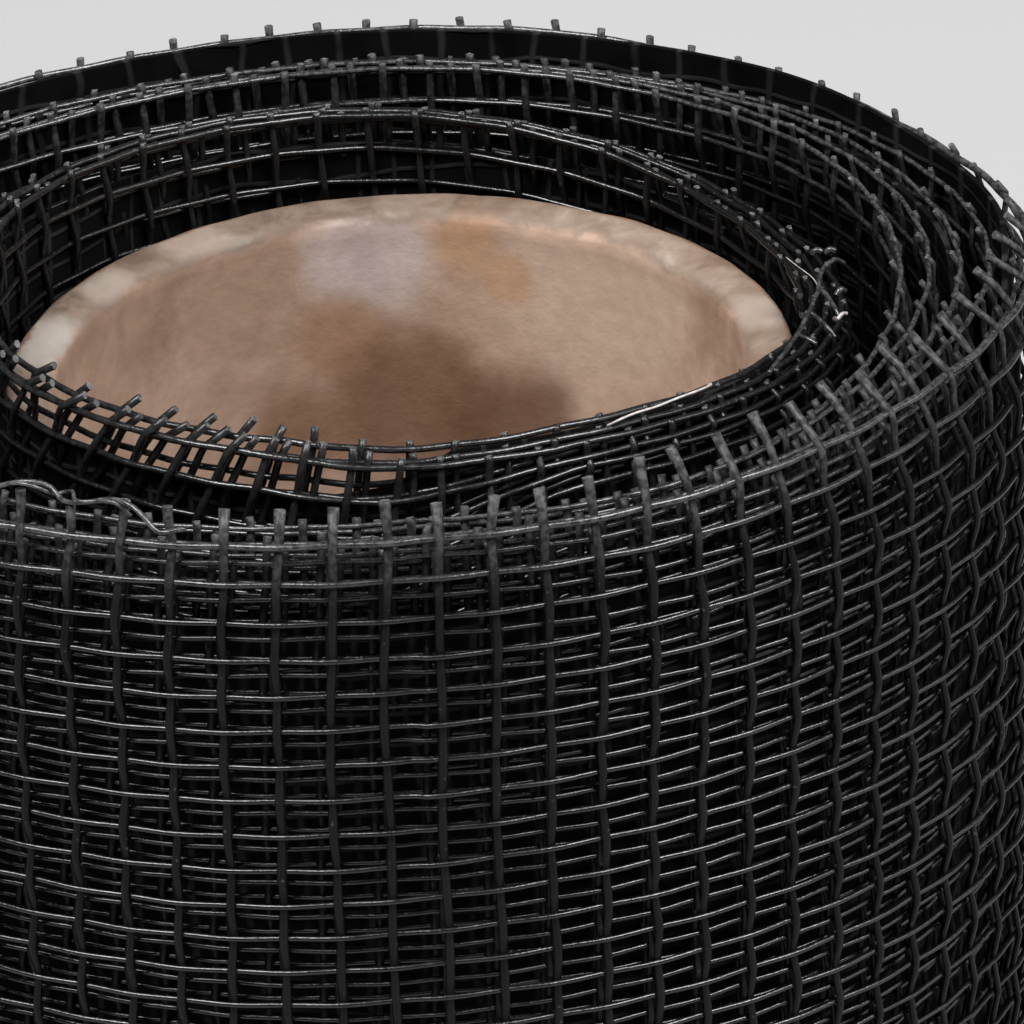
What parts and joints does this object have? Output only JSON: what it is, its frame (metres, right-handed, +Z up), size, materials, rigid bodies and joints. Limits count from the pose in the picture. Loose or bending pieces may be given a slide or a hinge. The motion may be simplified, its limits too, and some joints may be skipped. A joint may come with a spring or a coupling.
{
  "type": "roll of insect screen",
  "caption": "Short oval roll of black woven insect screen wound on a brown cardboard tube that is sunk below the cut rim, standing on its end.",
  "frame": {"origin": "under the middle of the roll, on the surface that it stands on", "axes": "+Z up along the roll, +X along the long way of its oval end, -Y towards the side that is seen"},
  "size_m": [0.0474, 0.0392, 0.1013],
  "materials": {
    "screen": "satin black coated glass-fibre mesh",
    "cardboard": "matte mottled brown cardboard"
  },
  "bodies": {
    "root": {"screen_roll": "screen", "core_tube": "cardboard"}
  },
  "joints": []
}
